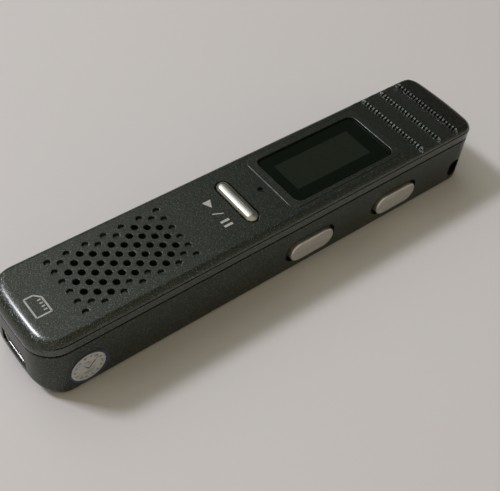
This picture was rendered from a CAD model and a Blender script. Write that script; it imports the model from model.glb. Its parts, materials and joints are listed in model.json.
import json
import math

import bmesh
import bpy
from mathutils import Matrix, Vector
from mathutils.bvhtree import BVHTree


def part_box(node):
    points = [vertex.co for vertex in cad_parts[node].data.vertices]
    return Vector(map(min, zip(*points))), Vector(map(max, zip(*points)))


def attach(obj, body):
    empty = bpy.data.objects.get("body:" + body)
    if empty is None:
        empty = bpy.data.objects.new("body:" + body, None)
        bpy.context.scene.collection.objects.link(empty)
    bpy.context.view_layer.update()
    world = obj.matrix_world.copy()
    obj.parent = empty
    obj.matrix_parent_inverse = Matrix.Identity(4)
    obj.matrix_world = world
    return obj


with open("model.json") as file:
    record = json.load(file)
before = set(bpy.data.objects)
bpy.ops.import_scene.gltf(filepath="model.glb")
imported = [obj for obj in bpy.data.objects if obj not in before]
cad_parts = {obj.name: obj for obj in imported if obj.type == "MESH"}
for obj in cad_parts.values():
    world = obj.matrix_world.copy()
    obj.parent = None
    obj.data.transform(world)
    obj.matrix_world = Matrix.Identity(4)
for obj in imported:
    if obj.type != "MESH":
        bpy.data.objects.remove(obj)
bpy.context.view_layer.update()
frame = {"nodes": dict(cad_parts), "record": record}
NODES = frame["nodes"]
MM = 0.001

# ------------------------------------------------------------------ places, all from the CAD boxes


def box_mm(node):
    low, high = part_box(node)
    return [c / MM for c in low], [c / MM for c in high]


def middle_mm(node):
    low, high = box_mm(node)
    return [(a + b) / 2 for a, b in zip(low, high)]


COVER_TOP = box_mm("top_cover")[1][2]
CELL_TOP = box_mm("display_module")[1][2]
CELL_MIDDLE_X = middle_mm("display_module")[0]
STICKER = middle_mm("inspection_sticker")

# ------------------------------------------------------------------ shader building


class Graph:
    """A small wrapper that builds a material's nodes in reading order."""

    def __init__(self, name):
        self.material = bpy.data.materials.new(name)
        self.material.use_nodes = True
        self.tree = self.material.node_tree
        self.shader = self.tree.nodes["Principled BSDF"]

    def add(self, kind, **settings):
        node = self.tree.nodes.new(kind)
        for key, value in settings.items():
            setattr(node, key, value)
        return node

    def plug(self, socket, value):
        """Gives an input socket a number, a colour, or another node's output."""
        if isinstance(value, bpy.types.NodeSocket):
            self.tree.links.new(value, socket)
        elif isinstance(value, (tuple, list)) and len(value) == 3 and socket.type == "RGBA":
            socket.default_value = (*value, 1.0)
        else:
            socket.default_value = value

    def place(self):
        """The point being shaded, in millimetres in the shared frame."""
        coordinates = self.add("ShaderNodeTexCoord")
        scaled = self.add("ShaderNodeVectorMath", operation="SCALE")
        self.plug(scaled.inputs[0], coordinates.outputs["Object"])
        self.plug(scaled.inputs["Scale"], 1 / MM)
        return scaled.outputs[0]

    def split(self, vector):
        parts = self.add("ShaderNodeSeparateXYZ")
        self.plug(parts.inputs[0], vector)
        return parts.outputs

    def joined(self, x, y, z):
        parts = self.add("ShaderNodeCombineXYZ")
        for socket, value in zip(parts.inputs, (x, y, z)):
            self.plug(socket, value)
        return parts.outputs[0]

    def math(self, operation, *values, clamp=False):
        node = self.add("ShaderNodeMath", operation=operation, use_clamp=clamp)
        for socket, value in zip(node.inputs, values):
            self.plug(socket, value)
        return node.outputs[0]

    def vector(self, operation, *values):
        node = self.add("ShaderNodeVectorMath", operation=operation)
        for socket, value in zip(node.inputs, values):
            self.plug(socket, value)
        gives_number = operation in {"LENGTH", "DISTANCE", "DOT_PRODUCT"}
        return node.outputs["Value" if gives_number else 0]

    def ramp(self, value, low, high, start=0.0, end=1.0):
        """Maps low..high to start..end, smoothly and clamped."""
        node = self.add("ShaderNodeMapRange", interpolation_type="SMOOTHSTEP", clamp=True)
        for socket, number in zip(node.inputs, (value, low, high, start, end)):
            self.plug(socket, number)
        return node.outputs[0]

    def noise(self, vector, scale, detail=3.0, roughness=0.5):
        node = self.add("ShaderNodeTexNoise")
        self.plug(node.inputs["Vector"], vector)
        self.plug(node.inputs["Scale"], scale)
        self.plug(node.inputs["Detail"], detail)
        self.plug(node.inputs["Roughness"], roughness)
        return node.outputs

    def cells(self, vector, scale, feature="F1"):
        node = self.add("ShaderNodeTexVoronoi", feature=feature)
        self.plug(node.inputs["Vector"], vector)
        self.plug(node.inputs["Scale"], scale)
        return node.outputs

    def mix(self, factor, first, second):
        node = self.add("ShaderNodeMix", data_type="RGBA")
        self.plug(node.inputs[0], factor)
        self.plug(node.inputs[6], first)
        self.plug(node.inputs[7], second)
        return node.outputs[2]

    def mix_number(self, factor, first, second):
        node = self.add("ShaderNodeMix", data_type="FLOAT")
        self.plug(node.inputs[0], factor)
        self.plug(node.inputs[2], first)
        self.plug(node.inputs[3], second)
        return node.outputs[0]

    def bump(self, height, distance_mm, strength=1.0, normal=None):
        node = self.add("ShaderNodeBump")
        self.plug(node.inputs["Strength"], strength)
        self.plug(node.inputs["Distance"], distance_mm * MM)
        self.plug(node.inputs["Height"], height)
        if normal is not None:
            self.plug(node.inputs["Normal"], normal)
        return node.outputs[0]

    def finish(self, **inputs):
        """Sets the shader's inputs by name, with spaces written as underscores."""
        for key, value in inputs.items():
            self.plug(self.shader.inputs[key.replace("_", " ")], value)
        return self.material


def inside_box(g, x, y, centre, half, soft):
    """1 inside an axis-aligned rectangle and 0 outside, with soft edges."""
    dx = g.math("SUBTRACT", g.math("ABSOLUTE", g.math("SUBTRACT", x, centre[0])), half[0])
    dy = g.math("SUBTRACT", g.math("ABSOLUTE", g.math("SUBTRACT", y, centre[1])), half[1])
    return g.ramp(g.math("MAXIMUM", dx, dy), -soft, soft, 1.0, 0.0)


def near_segment(g, x, y, start, end, half_width, soft):
    """1 on a line from start to end and 0 away from it."""
    ax, ay = start
    bx, by = end[0] - ax, end[1] - ay
    length_2 = bx * bx + by * by
    px, py = g.math("SUBTRACT", x, ax), g.math("SUBTRACT", y, ay)
    product = g.math("ADD", g.math("MULTIPLY", px, bx), g.math("MULTIPLY", py, by))
    along = g.math("DIVIDE", product, length_2)
    t = g.math("MINIMUM", g.math("MAXIMUM", along, 0.0), 1.0)
    qx = g.math("SUBTRACT", px, g.math("MULTIPLY", t, bx))
    qy = g.math("SUBTRACT", py, g.math("MULTIPLY", t, by))
    distance = g.math("SQRT", g.math("ADD", g.math("MULTIPLY", qx, qx), g.math("MULTIPLY", qy, qy)))
    return g.ramp(distance, half_width - soft, half_width + soft, 1.0, 0.0)


# ------------------------------------------------------------------ materials


PAINT_DARK = (0.0070, 0.0110, 0.0072)
PAINT_LIGHT = (0.0100, 0.0150, 0.0105)
FLAKE_COLOUR = (0.22, 0.255, 0.235)
FLAKE_LAYERS = ((13.0, 0.035), (21.0, 0.045))
FLAKE_TILT = (0.5, 0.5, 0.5)
NOSE_STIPPLE_X = (30.9, 31.6)
NOSE_GLOSS_X = (40.5, 43.0)
NOSE_GLOSS_COLOUR = (0.002, 0.0025, 0.002)
BEZEL_MIDDLE = (16.3, 0.0)
BEZEL_HALF = (13.8, 7.35)


def flake_paint(name, cover=False):
    """Near-black green paint with metal flakes. The cover adds a clear coat, nose stipple and a paler bezel."""
    g = Graph(name)
    place = g.place()
    x, y, z = g.split(place)
    grain = g.noise(place, 9.0, 4.0, 0.6)["Fac"]
    cloud = g.noise(place, 0.12, 3.0)["Fac"]
    base = g.mix(cloud, PAINT_DARK, PAINT_LIGHT)
    height = g.math("MULTIPLY", grain, 0.4)
    if cover:
        stipple = g.cells(place, 2.5)["Distance"]
        zone = g.ramp(x, *NOSE_STIPPLE_X)
        height = g.math("ADD", height, g.math("MULTIPLY", zone, g.ramp(stipple, 0.15, 0.5, 2.0, 0.0)))
        base = g.mix(g.math("MULTIPLY", g.ramp(x, *NOSE_GLOSS_X), 0.85), base, NOSE_GLOSS_COLOUR)
        base = g.mix(g.math("MULTIPLY", zone, g.ramp(stipple, 0.1, 0.32, 0.03, 0.0)), base, FLAKE_COLOUR)
        frame_zone = inside_box(g, x, y, BEZEL_MIDDLE, BEZEL_HALF, 0.06)
        base = g.mix(g.math("MULTIPLY", frame_zone, 0.012), base, FLAKE_COLOUR)
    normal = g.bump(height, 0.012, 0.5)
    metal = 0.0
    for per_mm, share in FLAKE_LAYERS:
        flakes = g.cells(place, per_mm)
        shown = g.ramp(g.split(flakes["Color"])[2], 1 - share - 0.01, 1 - share + 0.01)
        metal = g.math("MAXIMUM", metal, shown)
        tilt = g.vector("MULTIPLY", g.vector("SUBTRACT", flakes["Color"], (0.5, 0.5, 0.5)), FLAKE_TILT)
        strength = g.joined(shown, shown, shown)
        normal = g.vector("ADD", normal, g.vector("MULTIPLY", tilt, strength))
    return g.finish(
        Base_Color=g.mix(metal, base, FLAKE_COLOUR),
        Metallic=metal,
        Roughness=g.mix_number(metal, g.mix_number(cloud, 0.29, 0.34), 0.36),
        Specular_IOR_Level=0.34,
        Coat_Weight=0.5 if cover else 0.0,
        Coat_Roughness=0.18,
        Normal=g.vector("NORMALIZE", normal),
    )


def window_glass(name):
    """Smoked window. The display cell behind it shows as a slightly lighter field with faint dot rows."""
    g = Graph(name)
    place = g.place()
    x, y, z = g.split(place)
    centre = (CELL_MIDDLE_X, 0.05)
    field = inside_box(g, x, y, centre, (9.1, 3.55), 0.08)
    dots = g.cells(g.vector("MULTIPLY", place, (1.0, 1.0, 0.0)), 4.0)["Distance"]
    smear = g.noise(g.vector("MULTIPLY", place, (1.0, 2.5, 1.0)), 0.35, 5.0, 0.62)["Fac"]
    cell_colour = g.mix(g.ramp(dots, 0.2, 0.6), (0.0180, 0.0240, 0.0175), (0.0135, 0.0185, 0.0132))
    colour = g.mix(field, (0.0038, 0.0075, 0.0042), cell_colour)
    return g.finish(
        Base_Color=colour,
        Roughness=g.ramp(smear, 0.35, 0.8, 0.07, 0.2),
        Specular_IOR_Level=0.16,
        Normal=g.bump(smear, 0.003, 0.15),
    )


def plated(name, colour, rough, grain_axis, metallic=1.0, streak=0.12):
    """Metal with fine streaks along one axis, faint handling marks and a little pitting."""
    g = Graph(name)
    place = g.place()
    stretch = [7.0, 7.0, 7.0]
    stretch[grain_axis] = 0.35
    streaks = g.noise(g.vector("MULTIPLY", place, tuple(stretch)), 1.0, 4.0, 0.6)["Fac"]
    marks = g.noise(place, 0.7, 4.0, 0.6)["Fac"]
    pits = g.cells(place, 3.1)["Distance"]
    dark = tuple(c * 0.72 for c in colour)
    base = g.mix(g.ramp(streaks, 0.3, 0.75), dark, colour)
    base = g.mix(g.ramp(pits, 0.02, 0.09, 0.35, 0.0), base, tuple(c * 0.4 for c in colour))
    base = g.mix(g.ramp(marks, 0.5, 0.8, 0.0, 0.3), base, dark)
    worn = g.ramp(marks, 0.4, 0.8, 0.0, 0.1)
    roughness = g.math("ADD", g.ramp(streaks, 0.2, 0.8, rough - 0.05, rough + 0.08), worn)
    return g.finish(
        Base_Color=base,
        Metallic=metallic,
        Roughness=roughness,
        Normal=g.bump(streaks, 0.006, streak),
    )


def moulded(name, colour, rough=0.5, texture=14.0, depth=0.01, sheen=0.0):
    """Moulded plastic or rubber with a spark-eroded texture and slight colour variation."""
    g = Graph(name)
    place = g.place()
    grain = g.noise(place, texture, 4.0, 0.6)["Fac"]
    cloud = g.noise(place, 0.4, 3.0)["Fac"]
    base = g.mix(cloud, tuple(c * 0.85 for c in colour), tuple(min(1.0, c * 1.15) for c in colour))
    base = g.mix(g.ramp(grain, 0.4, 0.75, 0.0, 0.2), base, tuple(c * 0.6 for c in colour))
    return g.finish(
        Base_Color=base,
        Roughness=g.ramp(grain, 0.3, 0.7, rough - 0.06, rough + 0.08),
        Normal=g.bump(grain, depth, 0.5),
        Sheen_Weight=sheen,
    )


def foam(name):
    """Closed-cell foam: small round pores in a black skin."""
    g = Graph(name)
    place = g.place()
    pores = g.cells(place, 4.5)["Distance"]
    base = g.mix(g.ramp(pores, 0.1, 0.5), (0.008, 0.008, 0.008), (0.035, 0.035, 0.035))
    return g.finish(Base_Color=base, Roughness=0.9, Normal=g.bump(pores, 0.05, 0.8))


def woven(name):
    """Fine black cloth over the speaker."""
    g = Graph(name)
    x, y, z = g.split(g.place())
    pitch = 0.22
    across = g.math("SINE", g.math("MULTIPLY", x, math.tau / pitch))
    along = g.math("SINE", g.math("MULTIPLY", y, math.tau / pitch))
    weave = g.math("MULTIPLY", across, along)
    base = g.mix(g.ramp(weave, -0.6, 0.6), (0.003, 0.003, 0.003), (0.016, 0.016, 0.016))
    return g.finish(Base_Color=base, Roughness=0.85, Normal=g.bump(weave, 0.03, 0.7), Sheen_Weight=0.1)


def solder_mask(name):
    """Green circuit board with routed tracks, vias and a laminate edge."""
    g = Graph(name)
    place = g.place()
    x, y, z = g.split(place)
    lanes = g.math("ABSOLUTE", g.math("SINE", g.math("MULTIPLY", y, math.tau / 1.1)))
    routes = g.math("ABSOLUTE", g.math("SINE", g.math("MULTIPLY", x, math.tau / 1.3)))
    block = g.ramp(g.noise(place, 0.09, 1.0)["Fac"], 0.49, 0.51)
    track = g.ramp(g.mix_number(block, lanes, routes), 0.8, 0.88)
    vias = g.ramp(g.cells(place, 0.45)["Distance"], 0.1, 0.14, 1.0, 0.0)
    base = g.mix(track, (0.008, 0.075, 0.032), (0.014, 0.12, 0.05))
    base = g.mix(vias, base, (0.5, 0.44, 0.28))
    height = g.math("ADD", track, g.math("MULTIPLY", vias, -0.6))
    return g.finish(Base_Color=base, Roughness=0.32, Normal=g.bump(height, 0.02, 0.6), Coat_Weight=0.3)


def foil(name):
    """Crinkled laminate foil of the pouch cell, with a folded edge line."""
    g = Graph(name)
    place = g.place()
    crinkle = g.noise(g.vector("MULTIPLY", place, (0.25, 0.5, 0.5)), 1.0, 5.0, 0.55)["Fac"]
    weave = g.noise(place, 12.0, 2.0)["Fac"]
    base = g.mix(crinkle, (0.42, 0.43, 0.45), (0.66, 0.67, 0.69))
    return g.finish(
        Base_Color=base,
        Metallic=0.9,
        Roughness=g.ramp(weave, 0.3, 0.7, 0.34, 0.48),
        Normal=g.bump(crinkle, 0.25, 0.5),
    )


def cell_face(name):
    """The display cell: dark polariser with a silver-grey moulded frame."""
    g = Graph(name)
    place = g.place()
    x, y, z = g.split(place)
    centre = (CELL_MIDDLE_X, 0.0)
    field = inside_box(g, x, y, centre, (9.2, 3.7), 0.05)
    top = g.ramp(z, CELL_TOP - 0.05, CELL_TOP - 0.02)
    lit = g.math("MULTIPLY", field, top)
    columns = g.math("ABSOLUTE", g.math("SINE", g.math("MULTIPLY", x, math.pi / 0.18)))
    rows = g.math("ABSOLUTE", g.math("SINE", g.math("MULTIPLY", y, math.pi / 0.18)))
    dots = g.math("MULTIPLY", columns, rows)
    dark = g.mix(g.ramp(dots, 0.1, 0.5), (0.012, 0.016, 0.012), (0.03, 0.036, 0.03))
    base = g.mix(lit, (0.2, 0.2, 0.19), dark)
    return g.finish(Base_Color=base, Roughness=g.mix_number(lit, 0.45, 0.12), Normal=g.bump(dots, 0.004, 0.2))


def milky(name, colour, rough=0.25):
    """Clear or smoked light-carrying plastic."""
    g = Graph(name)
    place = g.place()
    haze = g.noise(place, 1.5, 4.0)["Fac"]
    base = g.mix(haze, tuple(c * 0.85 for c in colour), colour)
    return g.finish(
        Base_Color=base,
        Roughness=g.ramp(haze, 0.3, 0.7, rough - 0.08, rough + 0.06),
        Subsurface_Weight=0.25,
        Subsurface_Scale=0.0008,
        Normal=g.bump(haze, 0.01, 0.3),
    )


def sticker_print(name):
    """Round inspection sticker: silvery disc in a blue ring, with a tick, a few bars and a circle of dots."""
    g = Graph(name)
    place = g.place()
    x, y, z = g.split(place)
    cx, cz = STICKER[0], STICKER[2]
    u = g.math("SUBTRACT", x, cx)
    v = g.math("SUBTRACT", z, cz)
    # The disc sits a little off the ring's centre, as a quickly punched sticker does.
    du, dv = g.math("ADD", u, 0.22), g.math("SUBTRACT", v, 0.18)
    radius = g.math("SQRT", g.math("ADD", g.math("MULTIPLY", du, du), g.math("MULTIPLY", dv, dv)))
    angle = g.math("ARCTAN2", dv, du)
    beads = g.math("COSINE", g.math("MULTIPLY", angle, 14.0))
    off_ring = g.math("ABSOLUTE", g.math("SUBTRACT", radius, 2.55))
    ring = g.math("MULTIPLY", g.ramp(off_ring, 0.16, 0.28, 1.0, 0.0), g.ramp(beads, 0.1, 0.5))
    tick = g.math(
        "MAXIMUM",
        near_segment(g, u, v, (-0.75, 0.35), (-0.2, -0.25), 0.16, 0.05),
        near_segment(g, u, v, (-0.2, -0.25), (0.95, 1.05), 0.16, 0.05),
    )
    bars = near_segment(g, u, v, (-1.1, -1.0), (0.75, -1.0), 0.11, 0.04)
    for end, level in ((0.3, -1.42), (-0.1, 1.5)):
        bars = g.math("MAXIMUM", bars, near_segment(g, u, v, (-0.9, level), (end, level), 0.09, 0.04))
    sheen = g.noise(place, 1.1, 4.0, 0.6)
    disc = g.mix(g.ramp(sheen["Fac"], 0.35, 0.65), (0.50, 0.52, 0.58), (0.62, 0.60, 0.57))
    tint = g.mix(0.12, disc, sheen["Color"])
    inked = g.mix(g.math("MAXIMUM", g.math("MULTIPLY", ring, 0.75), bars), tint, (0.14, 0.17, 0.24))
    inked = g.mix(g.math("MULTIPLY", tick, 0.9), inked, (0.07, 0.08, 0.12))
    edge = g.ramp(radius, 3.18, 3.28)
    blue = g.mix(g.ramp(u, -3.0, 3.0), (0.022, 0.045, 0.10), (0.025, 0.018, 0.09))
    colour = g.mix(edge, inked, blue)
    return g.finish(
        Base_Color=colour,
        Roughness=g.ramp(sheen["Fac"], 0.3, 0.7, 0.25, 0.4),
        Metallic=g.mix_number(edge, 0.25, 0.1),
        Coat_Weight=0.3,
        Normal=g.bump(sheen["Fac"], 0.01, 0.3),
    )


def printed_ink(name):
    """Pad-printed pale grey ink, slightly patchy at the edges."""
    g = Graph(name)
    place = g.place()
    patch = g.noise(place, 3.5, 5.0, 0.6)["Fac"]
    base = g.mix(g.ramp(patch, 0.3, 0.7), (0.36, 0.365, 0.345), (0.52, 0.525, 0.50))
    return g.finish(Base_Color=base, Roughness=0.5, Normal=g.bump(patch, 0.006, 0.4))


TABLE_DARK = (0.68, 0.665, 0.675)
TABLE_LIGHT = (0.72, 0.705, 0.715)


def table_top(name):
    """Plain pale table."""
    g = Graph(name)
    place = g.place()
    cloud = g.noise(place, 0.006, 4.0, 0.55)["Fac"]
    grain = g.noise(place, 1.1, 5.0, 0.6)["Fac"]
    base = g.mix(cloud, TABLE_DARK, TABLE_LIGHT)
    base = g.mix(g.ramp(grain, 0.4, 0.7, 0.0, 0.08), base, TABLE_DARK)
    return g.finish(Base_Color=base, Roughness=0.55, Normal=g.bump(grain, 0.01, 0.15), Specular_IOR_Level=0.3)


FINISHES = {
    "flake_plastic": lambda: flake_paint("flake_paint"),
    "dark_window": lambda: window_glass("smoked_window"),
    "black_foam": lambda: foam("foam"),
    "display_cell": lambda: cell_face("display_cell"),
    "clear_plastic": lambda: milky("milky_plastic", (0.72, 0.74, 0.72)),
    "board_laminate": lambda: solder_mask("solder_mask"),
    "chip_resin": lambda: moulded("chip_resin", (0.03, 0.03, 0.032), 0.55),
    "plated_steel": lambda: plated("tin_plate", (0.66, 0.65, 0.62), 0.24, 0),
    "speaker_black": lambda: moulded("speaker_black", (0.02, 0.02, 0.021), 0.5),
    "mesh_fabric": lambda: woven("speaker_cloth"),
    "battery_foil": lambda: foil("battery_foil"),
    "lead_sleeve": lambda: moulded("lead_sleeve", (0.45, 0.05, 0.04), 0.4, 6.0),
    "bright_button": lambda: plated("bright_plating", (0.70, 0.71, 0.68), 0.20, 1, 1.0, 0.05),
    "silver_button": lambda: plated("satin_silver", (0.77, 0.745, 0.72), 0.32, 0, 0.9, 0.12),
    "switch_housing": lambda: moulded("switch_housing", (0.03, 0.03, 0.032), 0.45),
    "plunger_plastic": lambda: moulded("plunger_nylon", (0.6, 0.58, 0.52), 0.5),
    "soft_rubber": lambda: moulded("soft_rubber", (0.02, 0.02, 0.02), 0.75, 8.0, 0.02, 0.2),
    "smoked_plastic": lambda: milky("smoked_pipe", (0.004, 0.004, 0.004), 0.16),
    "black_steel": lambda: plated("black_oxide", (0.045, 0.045, 0.048), 0.38, 0, 0.9),
    "sticker_film": lambda: sticker_print("sticker_print"),
}


def dress(record):
    """Gives every CAD node the finish its record slot names."""
    made = {slot: build() for slot, build in FINISHES.items()}
    made["cover"] = flake_paint("flake_paint_cover", cover=True)
    for part in record["subparts"]:
        obj = NODES[part["node"]]
        finish = made["cover" if part["node"] == "top_cover" else part["material_slot"]]
        if obj.material_slots:
            for material_slot in obj.material_slots:
                material_slot.link = "OBJECT"
                material_slot.material = finish
        else:
            obj.data.materials.append(finish)


# ------------------------------------------------------------------ printed symbols


SYMBOL_CUTS = 5
SYMBOL_LIFT = 0.005
SYMBOL_THICKNESS = 0.015


def outline_mesh(name, loops, z_mm):
    """Flat closed outlines, each a list of x, y in millimetres, cut into small faces."""
    mesh = bmesh.new()
    for loop in loops:
        corners = [mesh.verts.new((x * MM, y * MM, z_mm * MM)) for x, y in loop]
        mesh.faces.new(corners)
    bmesh.ops.triangulate(mesh, faces=mesh.faces[:])
    bmesh.ops.subdivide_edges(mesh, edges=mesh.edges[:], cuts=SYMBOL_CUTS, use_grid_fill=True)
    data = bpy.data.meshes.new(name)
    mesh.to_mesh(data)
    mesh.free()
    obj = bpy.data.objects.new(name, data)
    bpy.context.scene.collection.objects.link(obj)
    return obj


def lay_on(obj, target, lift_mm, thickness_mm):
    """Drops each point onto the CAD surface below it, then gives the film a thickness."""
    surface = BVHTree.FromObject(target, bpy.context.evaluated_depsgraph_get())
    down = Vector((0, 0, -1))
    for vertex in obj.data.vertices:
        hit, normal, index, distance = surface.ray_cast(vertex.co, down)
        if hit is not None:
            vertex.co = hit + normal * lift_mm * MM
    thicken = obj.modifiers.new("film", "SOLIDIFY")
    thicken.thickness = thickness_mm * MM
    thicken.offset = 1.0
    return obj


def stroke(start, end, width):
    """A straight stroke between two points as a four-cornered loop."""
    (x0, y0), (x1, y1) = start, end
    length = math.hypot(x1 - x0, y1 - y0)
    nx, ny = -(y1 - y0) / length * width / 2, (x1 - x0) / length * width / 2
    return [(x0 + nx, y0 + ny), (x0 - nx, y0 - ny), (x1 - nx, y1 - ny), (x1 + nx, y1 + ny)]


def card_symbol():
    """A memory card outline with a cut corner and four contacts."""
    x0, x1 = -46.5, -43.8
    y0, y1 = -2.9, 1.4
    cut = 1.0
    width = 0.3
    corners = [(x0, y1), (x1 - cut, y1), (x1, y1 - cut), (x1, y0), (x0, y0)]
    loops = [stroke(a, b, width) for a, b in zip(corners, corners[1:] + corners[:1])]
    for i in range(4):
        y = y0 + 0.85 + i * 0.72
        loops.append(stroke((x1 - 0.95, y), (x1 - 0.35, y), 0.26))
    return loops


def play_symbol():
    """A triangle, a slash and two bars, reading towards the near side."""
    x0, x1 = -10.3, -8.5
    middle = (x0 + x1) / 2
    return [
        [(x0, 3.0), (middle, 1.2), (x1, 3.0)],
        stroke((x0 - 0.05, -0.1), (x1 + 0.05, -1.0), 0.22),
        stroke((x0, -2.6), (x1, -2.6), 0.5),
        stroke((x0, -3.7), (x1, -3.7), 0.5),
    ]


def symbols():
    ink = printed_ink("printed_ink")
    for name, loops in (("card_symbol", card_symbol()), ("play_symbol", play_symbol())):
        flat = outline_mesh(name, loops, COVER_TOP + 1)
        obj = lay_on(flat, NODES["top_cover"], SYMBOL_LIFT, SYMBOL_THICKNESS)
        obj.data.materials.append(ink)
        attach(obj, "case")


# ------------------------------------------------------------------ shading of the CAD nodes


SHARP_DEGREES = 30


def smooth_nodes(angle_degrees):
    for obj in NODES.values():
        obj.data.set_sharp_from_angle(angle=math.radians(angle_degrees))
        for polygon in obj.data.polygons:
            polygon.use_smooth = True


# ------------------------------------------------------------------ stage, light and camera

FLOOR_HALF = 1.5
EYE = Vector((-0.08091, -0.08450, 0.13167))
FORWARD = Vector((0.45788, 0.47871, -0.74912)).normalized()
UP_HINT = Vector((0.41792, 0.62783, 0.65664))
LENS_MM = 65.69
SENSOR_MM = 36.0
KEY_DIRECTION = (-0.42, 0.50, 0.757)
LAMP_DISTANCE = 0.9
LAMP_SIZE = (0.14, 0.14)
LAMP_WATTS = 3.8
LAMP_COLOUR = (0.93, 0.92, 1.0)
ROOM_DARK = (0.094, 0.089, 0.072)
# Each glow: where it is, the cosines at which it starts and is full, and its radiance.
GLOWS = (
    ((-0.10, 0.58, 0.81), 0.79, 0.97, (0.90, 0.90, 0.84)),
    ((-0.70, -0.70, 0.15), -0.35, 0.75, (0.36, 0.32, 0.22)),
)


def add_floor():
    mesh = bpy.data.meshes.new("floor")
    corners = [(-FLOOR_HALF, -FLOOR_HALF, 0), (FLOOR_HALF, -FLOOR_HALF, 0),
               (FLOOR_HALF, FLOOR_HALF, 0), (-FLOOR_HALF, FLOOR_HALF, 0)]
    mesh.from_pydata(corners, [], [(0, 1, 2, 3)])
    floor = bpy.data.objects.new("floor", mesh)
    bpy.context.scene.collection.objects.link(floor)
    mesh.materials.append(table_top("table_top"))


def add_camera():
    data = bpy.data.cameras.new("camera")
    data.lens = LENS_MM
    data.sensor_width = SENSOR_MM
    data.clip_start = 0.005
    data.clip_end = 10
    camera = bpy.data.objects.new("camera", data)
    right = FORWARD.cross(UP_HINT).normalized()
    up = right.cross(FORWARD)
    turn = Matrix((right, up, -FORWARD)).transposed().to_4x4()
    camera.matrix_world = Matrix.Translation(EYE) @ turn
    bpy.context.scene.collection.objects.link(camera)
    bpy.context.scene.camera = camera


def add_area(name, direction, distance, size, watts, colour):
    """A soft panel that looks at the object from a direction."""
    data = bpy.data.lights.new(name, "AREA")
    data.shape = "RECTANGLE"
    data.size, data.size_y = size
    data.energy = watts
    data.color = colour
    light = bpy.data.objects.new(name, data)
    place = Vector(direction).normalized() * distance
    light.location = place
    light.rotation_euler = (-place).to_track_quat("-Z", "Y").to_euler()
    bpy.context.scene.collection.objects.link(light)


def room_glow(world):
    """A dim room with a pale ceiling near the lamp and warm walls behind the viewer."""
    tree = world.node_tree
    background = tree.nodes["Background"]
    direction = tree.nodes.new("ShaderNodeTexCoord").outputs["Generated"]
    colour = None
    for towards, start, end, radiance in GLOWS:
        dot = tree.nodes.new("ShaderNodeVectorMath")
        dot.operation = "DOT_PRODUCT"
        dot.inputs[1].default_value = Vector(towards).normalized()
        tree.links.new(direction, dot.inputs[0])
        fade = tree.nodes.new("ShaderNodeMapRange")
        fade.interpolation_type = "SMOOTHSTEP"
        fade.inputs["From Min"].default_value = start
        fade.inputs["From Max"].default_value = end
        tree.links.new(dot.outputs["Value"], fade.inputs["Value"])
        scaled = tree.nodes.new("ShaderNodeVectorMath")
        scaled.operation = "SCALE"
        scaled.inputs[0].default_value = radiance
        tree.links.new(fade.outputs[0], scaled.inputs["Scale"])
        total = tree.nodes.new("ShaderNodeVectorMath")
        total.operation = "ADD"
        total.inputs[1].default_value = ROOM_DARK
        tree.links.new(scaled.outputs[0], total.inputs[0])
        if colour is not None:
            tree.links.new(colour, total.inputs[1])
        colour = total.outputs[0]
    tree.links.new(colour, background.inputs["Color"])
    background.inputs["Strength"].default_value = 1.0


def add_light():
    world = bpy.data.worlds.new("studio")
    world.use_nodes = True
    room_glow(world)
    bpy.context.scene.world = world
    add_area("lamp", KEY_DIRECTION, LAMP_DISTANCE, LAMP_SIZE, LAMP_WATTS, LAMP_COLOUR)
    bpy.context.scene.view_settings.view_transform = "Standard"
    bpy.context.scene.view_settings.look = "None"


smooth_nodes(SHARP_DEGREES)
dress(frame["record"])
symbols()
add_floor()
add_light()
add_camera()
